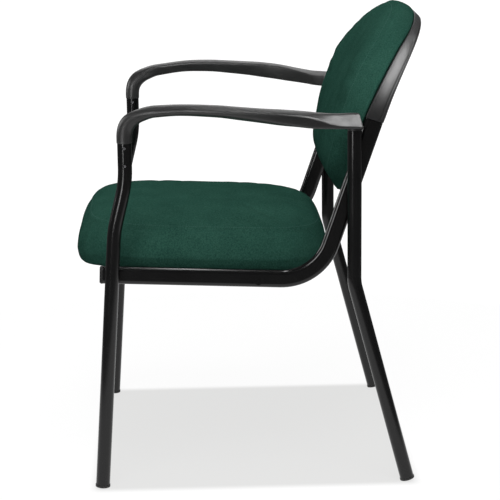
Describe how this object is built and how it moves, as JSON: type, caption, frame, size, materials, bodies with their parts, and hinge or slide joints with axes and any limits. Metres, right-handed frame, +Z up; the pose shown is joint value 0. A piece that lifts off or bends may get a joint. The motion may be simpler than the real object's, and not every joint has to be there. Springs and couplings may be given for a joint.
{
  "type": "guest chair",
  "caption": "Guest chair with a black tubular steel frame, moulded plastic armrests and green fabric seat and shell-backed backrest cushions.",
  "frame": {"origin": "on the floor, at the centre of the chair's bounding box", "axes": "+Z up; -Y is the way a sitter faces; +X is the sitter's left"},
  "size_m": [0.728, 0.6494, 0.8438],
  "materials": {
    "black_steel": "satin black powder coat",
    "arm_plastic": "fine-textured black moulded plastic",
    "shell_plastic": "fine-textured black moulded plastic",
    "rail_caps": "smooth black plastic",
    "foot_glides": "hard black plastic",
    "dust_cover": "thin black non-woven cover",
    "seat_fabric": "dark green woven upholstery over foam",
    "back_fabric": "dark green woven upholstery over foam",
    "plywood": "birch plywood, unfinished",
    "fasteners": "dark zinc plated"
  },
  "bodies": {
    "root": {"front_leg_left": "black_steel", "front_leg_right": "black_steel", "rear_leg_left": "black_steel", "rear_leg_right": "black_steel", "seat_rail_left": "black_steel", "seat_rail_right": "black_steel", "front_crossbar": "black_steel", "rear_crossbar": "black_steel", "front_glide_left": "foot_glides", "front_glide_right": "foot_glides", "rear_glide_left": "foot_glides", "rear_glide_right": "foot_glides", "rail_cap_left": "rail_caps", "rail_cap_right": "rail_caps", "armrest_left": "arm_plastic", "armrest_right": "arm_plastic", "armrest_screws_left": "fasteners", "armrest_screws_right": "fasteners", "seat_cushion": "seat_fabric", "seat_board": "plywood", "seat_dust_cover": "dust_cover", "seat_bolts": "fasteners", "seat_tee_nuts": "fasteners", "crossbar_bolts": "fasteners", "back_shell": "shell_plastic", "back_cushion": "back_fabric", "back_board": "plywood", "back_board_screws": "fasteners", "back_peg_screws": "fasteners"}
  },
  "joints": []
}
